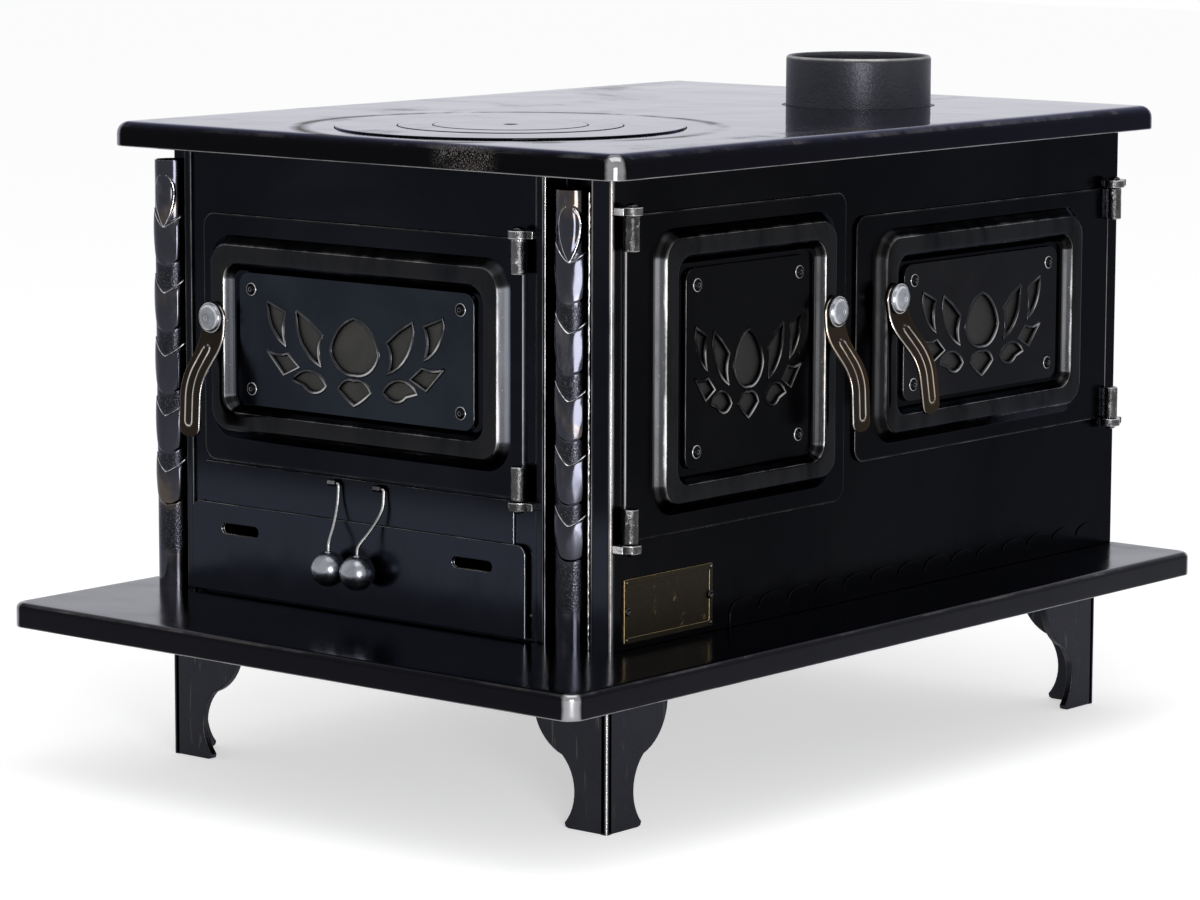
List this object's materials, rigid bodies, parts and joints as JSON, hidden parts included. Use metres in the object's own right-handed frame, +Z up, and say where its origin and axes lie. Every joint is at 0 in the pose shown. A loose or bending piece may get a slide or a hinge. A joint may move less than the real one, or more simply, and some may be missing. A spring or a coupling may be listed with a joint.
{
  "type": "wood cookstove",
  "caption": "Cast-legged sheet-steel wood cookstove: hinged fire, side and oven doors with turning latches, ash drawer, loose cooking rings and a flue collar on a wide hearth tray.",
  "frame": {"origin": "on the floor, in the middle of the bounding box", "axes": "+X along the long front, from the fire end to the oven end; -Y is the side with the side door and oven door; +Z up"},
  "size_m": [1.019, 0.707, 0.678],
  "materials": {
    "black_steel": "gloss blued black",
    "cooktop_steel": "gloss blued black with heat bloom",
    "black_casting": "satin black",
    "grate_iron": "raw casting",
    "inner_steel": "dark scaled sheet",
    "bright_wire": "bright drawn",
    "polished_aluminium": "polished",
    "bronzed_steel": "gloss black with bronze edges",
    "backing_sheet": "matt heat-tinted",
    "dark_fasteners": "oiled black",
    "dark_brass": "darkened"
  },
  "bodies": {
    "stove": {"base_plate": "black_steel", "leg_front_left": "black_casting", "leg_front_right": "black_casting", "leg_rear_left": "black_casting", "leg_rear_right": "black_casting", "end_panel": "black_steel", "front_panel": "black_steel", "rear_panel": "black_steel", "right_panel": "black_steel", "top_plate": "cooktop_steel", "flue_collar": "black_casting", "corner_post_front": "black_steel", "corner_post_rear": "black_steel", "firebox_liner": "inner_steel", "fire_grate": "grate_iron", "oven_box": "inner_steel", "oven_rack": "bright_wire", "drawer_runners": "inner_steel", "name_plate": "dark_brass", "name_plate_screws": "dark_brass", "fire_door_hinge_eyes": "black_steel", "fire_door_hinge_pins": "dark_fasteners", "side_door_hinge_eyes": "black_steel", "side_door_hinge_pins": "dark_fasteners", "oven_door_hinge_eyes": "black_steel", "oven_door_hinge_pins": "dark_fasteners"},
    "fire_door": {"fire_door_leaf": "black_steel", "fire_door_backing_plate": "backing_sheet", "fire_door_decor_plate": "black_steel", "fire_door_decor_screws": "dark_fasteners", "fire_door_hinge_barrels": "black_steel"},
    "fire_door_latch": {"fire_door_latch_knob": "polished_aluminium", "fire_door_latch_lever": "bronzed_steel", "fire_door_latch_tongue": "bronzed_steel"},
    "side_door": {"side_door_leaf": "black_steel", "side_door_backing_plate": "backing_sheet", "side_door_decor_plate": "black_steel", "side_door_decor_screws": "dark_fasteners", "side_door_hinge_barrels": "black_steel"},
    "side_door_latch": {"side_door_latch_knob": "polished_aluminium", "side_door_latch_lever": "bronzed_steel", "side_door_latch_tongue": "bronzed_steel"},
    "oven_door": {"oven_door_leaf": "black_steel", "oven_door_backing_plate": "backing_sheet", "oven_door_decor_plate": "black_steel", "oven_door_decor_screws": "dark_fasteners", "oven_door_hinge_barrels": "black_steel"},
    "oven_door_latch": {"oven_door_latch_knob": "polished_aluminium", "oven_door_latch_lever": "bronzed_steel", "oven_door_latch_tongue": "bronzed_steel"},
    "ash_drawer": {"ash_drawer": "black_steel", "ash_drawer_front": "black_steel"},
    "left_pull": {"left_pull_wire": "bright_wire", "left_pull_ball": "polished_aluminium"},
    "right_pull": {"right_pull_wire": "bright_wire", "right_pull_ball": "polished_aluminium"},
    "outer_ring": {"outer_ring": "cooktop_steel"},
    "inner_ring": {"inner_ring": "cooktop_steel"},
    "lid": {"lid": "cooktop_steel"}
  },
  "joints": [
    {"name": "fire_door_hinge", "type": "hinge", "parent": "stove", "child": "fire_door", "pos_m": [-0.3498, -0.1545, 0.423], "axis": [0, 0, 1], "range_deg": [0, 110]},
    {"name": "side_door_hinge", "type": "hinge", "parent": "stove", "child": "side_door", "pos_m": [-0.3235, -0.2658, 0.422], "axis": [0, 0, -1], "range_deg": [0, 110]},
    {"name": "oven_door_hinge", "type": "hinge", "parent": "stove", "child": "oven_door", "pos_m": [0.4595, -0.2658, 0.425], "axis": [0, 0, 1], "range_deg": [0, 110]},
    {"name": "fire_door_latch_turn", "type": "hinge", "parent": "fire_door", "child": "fire_door_latch", "pos_m": [-0.3553, 0.2255, 0.444], "axis": [-1, 0, 0], "range_deg": [0, 80]},
    {"name": "side_door_latch_turn", "type": "hinge", "parent": "side_door", "child": "side_door_latch", "pos_m": [-0.0295, -0.2713, 0.459], "axis": [0, 1, 0], "range_deg": [0, 80]},
    {"name": "oven_door_latch_turn", "type": "hinge", "parent": "oven_door", "child": "oven_door_latch", "pos_m": [0.0695, -0.2713, 0.463], "axis": [0, -1, 0], "range_deg": [0, 80]},
    {"name": "ash_drawer_slide", "type": "slide", "parent": "stove", "child": "ash_drawer", "axis": [-1, 0, 0], "range_m": [0, 0.26]},
    {"name": "left_pull_swing", "type": "hinge", "parent": "ash_drawer", "child": "left_pull", "pos_m": [-0.346, 0.081, 0.296], "axis": [0, 1, 0], "range_deg": [0, 70]},
    {"name": "right_pull_swing", "type": "hinge", "parent": "ash_drawer", "child": "right_pull", "pos_m": [-0.346, 0.023, 0.296], "axis": [0, 1, 0], "range_deg": [0, 70]},
    {"name": "outer_ring_lift", "type": "slide", "parent": "stove", "child": "outer_ring", "axis": [0, 0, 1], "range_m": [0, 0.1]},
    {"name": "inner_ring_lift", "type": "slide", "parent": "outer_ring", "child": "inner_ring", "axis": [0, 0, 1], "range_m": [0, 0.1]},
    {"name": "lid_lift", "type": "slide", "parent": "inner_ring", "child": "lid", "axis": [0, 0, 1], "range_m": [0, 0.1]}
  ]
}
